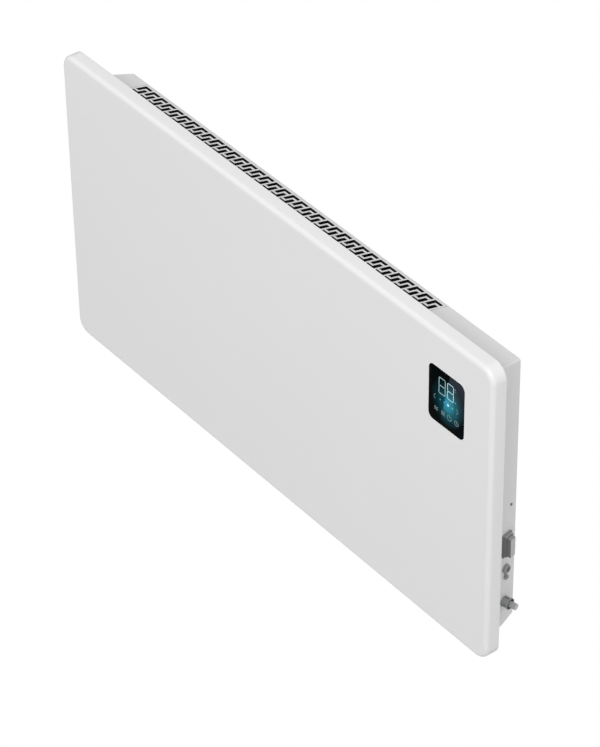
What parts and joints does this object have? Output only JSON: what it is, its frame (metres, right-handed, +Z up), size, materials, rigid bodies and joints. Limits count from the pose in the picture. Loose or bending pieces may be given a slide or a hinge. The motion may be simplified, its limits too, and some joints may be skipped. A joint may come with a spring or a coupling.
{
  "type": "wall panel convector heater",
  "caption": "Slim white wall-hung convector heater with a flat front panel, a black glass display, top outlet slots and a rocker switch, sensor and cable gland on its side.",
  "frame": {"origin": "centre of the upper wall rail's back face, where it lies on the wall", "axes": "+Z is up, +X runs along the panel to the side with the switch, and the panel faces -Y, away from the wall at Y = 0"},
  "size_m": [0.826, 0.0833, 0.43],
  "materials": {
    "white_paint": "fine satin white powder coat",
    "black_glass": "gloss black printed glass",
    "dark_plastic": "moulded black",
    "grey_plastic": "moulded mid grey",
    "light_plastic": "moulded light grey",
    "rubber": "matt black",
    "cable_sheath": "smooth grey sheath",
    "screw_steel": "zinc plated",
    "galvanised": "hot-dip galvanised sheet",
    "aluminium": "extruded, plain",
    "ceramic": "unglazed",
    "circuit_board": "green solder mask",
    "brown_core": "brown insulation",
    "blue_core": "blue insulation",
    "earth_core": "green and yellow insulation"
  },
  "bodies": {
    "heater": {"board_tray": "dark_plastic", "cable_tail": "cable_sheath", "capacitor": "dark_plastic", "compartment_divider": "galvanised", "cutout_feed": "brown_core", "cutout_return": "blue_core", "digit_module": "dark_plastic", "display_board": "circuit_board", "display_frame": "dark_plastic", "display_glass": "black_glass", "display_ribbon": "cable_sheath", "earth_lead": "earth_core", "earth_screw": "screw_steel", "element_bush_left": "ceramic", "element_bush_right": "ceramic", "element_feed": "brown_core", "element_return": "blue_core", "flange_screw_1": "screw_steel", "flange_screw_2": "screw_steel", "flange_screw_3": "screw_steel", "flange_screw_4": "screw_steel", "flange_screw_5": "screw_steel", "flange_screw_6": "screw_steel", "flange_screw_7": "screw_steel", "flange_screw_8": "screw_steel", "front_panel": "white_paint", "gland_body": "grey_plastic", "gland_lock_nut": "grey_plastic", "gland_seal": "rubber", "heat_shield": "galvanised", "heating_element": "aluminium", "inlet_grille": "white_paint", "left_end_plate": "galvanised", "live_lead": "brown_core", "lower_wall_rail": "galvanised", "neutral_lead": "blue_core", "outlet_grille": "white_paint", "power_board": "circuit_board", "rear_casing": "white_paint", "relay": "dark_plastic", "room_sensor": "dark_plastic", "sensor_housing": "grey_plastic", "sensor_lead": "dark_plastic", "side_screw": "screw_steel", "switch_feed": "brown_core", "switch_housing": "grey_plastic", "switch_return": "brown_core", "terminal_block": "ceramic", "thermal_cutout": "dark_plastic", "transformer": "screw_steel", "upper_wall_rail": "galvanised", "wall_bumper_left": "rubber", "wall_bumper_right": "rubber"},
    "rocker": {"switch_rocker": "light_plastic"}
  },
  "joints": [
    {"name": "mains_rocker", "type": "hinge", "parent": "heater", "child": "rocker", "pos_m": [0.3763, -0.02231, -0.1922], "axis": [0.2241, -0.9746, 0], "range_deg": [0, 12]}
  ]
}
